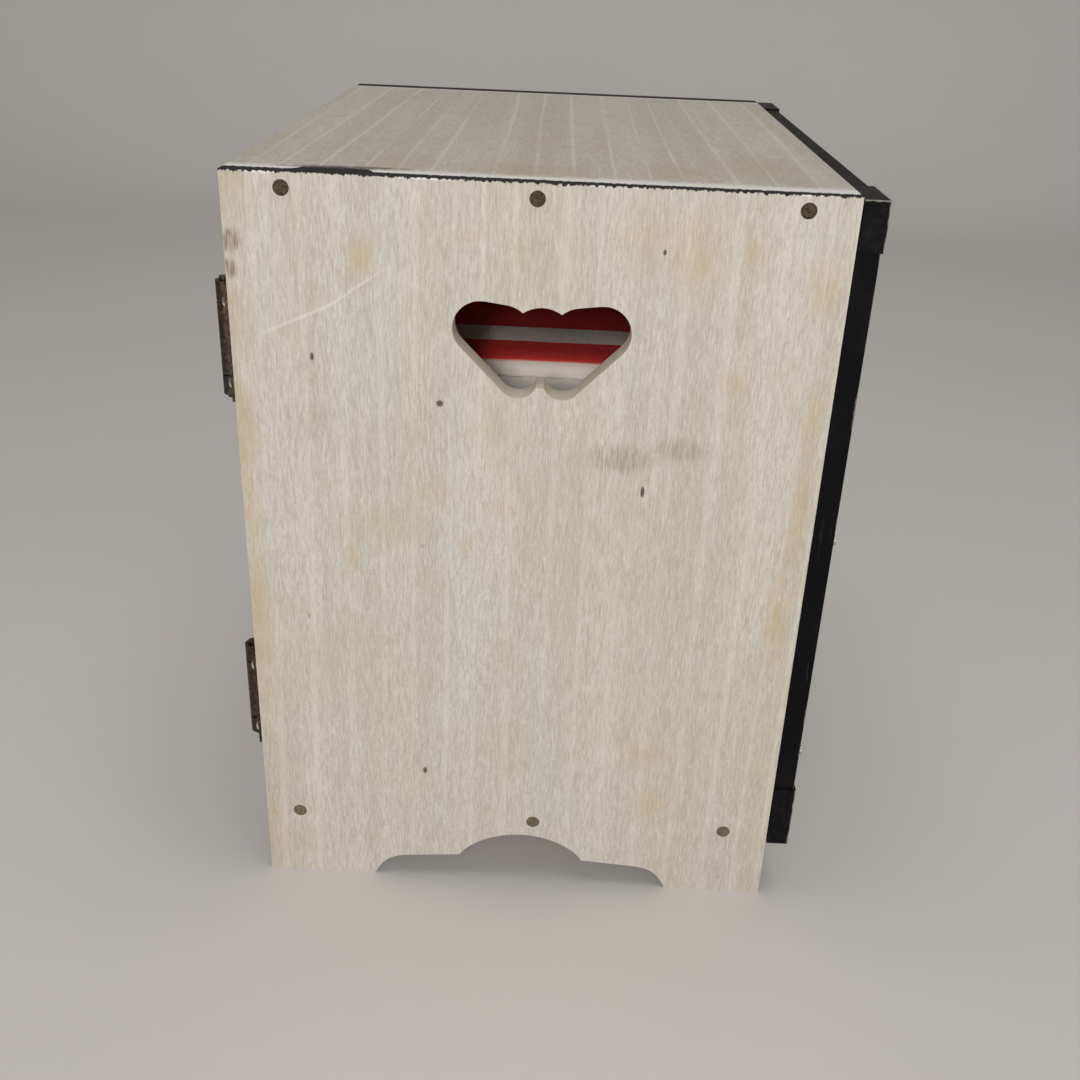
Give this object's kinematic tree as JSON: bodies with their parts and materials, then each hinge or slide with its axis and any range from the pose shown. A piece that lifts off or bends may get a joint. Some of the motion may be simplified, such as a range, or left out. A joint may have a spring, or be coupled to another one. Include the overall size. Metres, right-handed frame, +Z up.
{
  "type": "wind up music box",
  "caption": "Musical jewellery cabinet: laminate case with two hinged doors, butterfly cut-outs in its sides, a striped cushion on a shelf, and a wind-up comb-and-cylinder movement",
  "frame": {"origin": "on the table, under the middle of the whole object with its knobs and key", "axes": "+Z up, -Y towards the doors, the case is symmetric about X = 0"},
  "size_m": [0.174, 0.1673, 0.184],
  "materials": {
    "laminate": "off-white laminate with a fine vertical grain, stained in places",
    "black_edge": "black painted board, worn at the edges",
    "white_paint": "white painted board",
    "bare_wood": "pale bare wood",
    "striped_cloth": "ribbed cloth with broad red and white stripes",
    "antique_bronze": "dark antiqued metal, rubbed bright at high spots",
    "cap_metal": "black lacquered sheet metal",
    "pin_brass": "dulled brass pin heads",
    "movement_brass": "brass of the movement",
    "movement_steel": "polished and blued steel of the movement",
    "screw_steel": "plated steel screws",
    "magnet": "black ferrite magnet"
  },
  "bodies": {
    "case": {"left_side_panel": "laminate", "right_side_panel": "laminate", "top_board": "laminate", "bottom_board": "black_edge", "back_board": "black_edge", "back_corner_caps": "cap_metal", "panel_pins": "pin_brass", "back_nails": "screw_steel", "shelf": "white_paint", "shelf_battens": "bare_wood", "cushion": "striped_cloth", "magnet_catch": "screw_steel", "catch_magnets": "magnet", "left_case_leaves": "antique_bronze", "right_case_leaves": "antique_bronze", "hinge_pins": "antique_bronze", "case_leaf_tacks": "pin_brass", "bedplate": "movement_brass", "movement_screws": "screw_steel", "comb_heel": "movement_brass", "comb": "movement_steel", "comb_screws": "screw_steel", "inner_train_plate": "movement_brass", "outer_train_plate": "movement_brass", "cylinder_bearing": "movement_brass", "governor_bracket": "movement_brass", "barrel_bridge": "movement_brass", "bridge_screws": "screw_steel", "click_post": "movement_steel", "lever_post": "movement_steel"},
    "left_door_body": {"left_door": "laminate", "left_knob": "antique_bronze", "left_knob_screw": "screw_steel", "left_strike_plate": "screw_steel", "left_door_leaves": "antique_bronze", "left_leaf_tacks": "pin_brass"},
    "right_door_body": {"right_door": "laminate", "right_knob": "antique_bronze", "right_knob_screw": "screw_steel", "right_strike_plate": "screw_steel", "right_door_leaves": "antique_bronze", "right_leaf_tacks": "pin_brass"},
    "winding": {"winding_key": "movement_brass", "winding_arbor": "movement_steel", "ratchet_wheel": "movement_steel"},
    "barrel": {"spring_barrel": "movement_brass", "barrel_lid": "movement_brass", "mainspring": "movement_steel"},
    "cylinder": {"pinned_cylinder": "movement_brass", "cylinder_shaft": "movement_steel", "cylinder_wheel": "movement_brass"},
    "transfer": {"transfer_arbor": "movement_steel", "worm_wheel": "movement_brass"},
    "governor": {"governor_worm": "movement_steel", "governor_fan": "movement_brass"},
    "click_body": {"click": "movement_steel"},
    "lever": {"stop_lever": "movement_steel"}
  },
  "joints": [
    {"name": "left_door_hinge", "type": "hinge", "parent": "case", "child": "left_door_body", "pos_m": [-0.0805, -0.07395, 0.1], "axis": [0, 0, -1], "range_deg": [0, 175]},
    {"name": "right_door_hinge", "type": "hinge", "parent": "case", "child": "right_door_body", "pos_m": [0.0805, -0.07395, 0.1], "axis": [0, 0, 1], "range_deg": [0, 175]},
    {"name": "key_turn", "type": "hinge", "parent": "case", "child": "winding", "pos_m": [0, 0.06035, 0.075], "axis": [0, -1, 0], "continuous": true},
    {"name": "barrel_turn", "type": "hinge", "parent": "case", "child": "barrel", "pos_m": [0, 0.05235, 0.075], "axis": [0, -1, 0], "continuous": true},
    {"name": "cylinder_turn", "type": "hinge", "parent": "case", "child": "cylinder", "pos_m": [-0.023, 0.04835, 0.075], "axis": [1, 0, 0], "continuous": true},
    {"name": "transfer_turn", "type": "hinge", "parent": "case", "child": "transfer", "pos_m": [-0.038, 0.04835, 0.084], "axis": [1, 0, 0], "continuous": true},
    {"name": "governor_turn", "type": "hinge", "parent": "case", "child": "governor", "pos_m": [-0.0385, 0.04835, 0.09], "axis": [0, -1, 0], "continuous": true},
    {"name": "click_pivot", "type": "hinge", "parent": "case", "child": "click_body", "pos_m": [0.0066, 0.04385, 0.0604], "axis": [0, -1, 0], "range_deg": [-6.5, 0], "stiffness_Nm_per_rad": 0.001, "springref_deg": 2.86},
    {"name": "stop_lever_pivot", "type": "hinge", "parent": "case", "child": "lever", "pos_m": [-0.025, 0.04035, 0.0855], "axis": [0, -1, 0], "range_deg": [-28, 0]}
  ],
  "couplings": [
    {"joint": "cylinder_turn", "follows": "barrel_turn", "ratio": -4},
    {"joint": "transfer_turn", "follows": "barrel_turn", "ratio": 16},
    {"joint": "governor_turn", "follows": "barrel_turn", "ratio": -384}
  ]
}
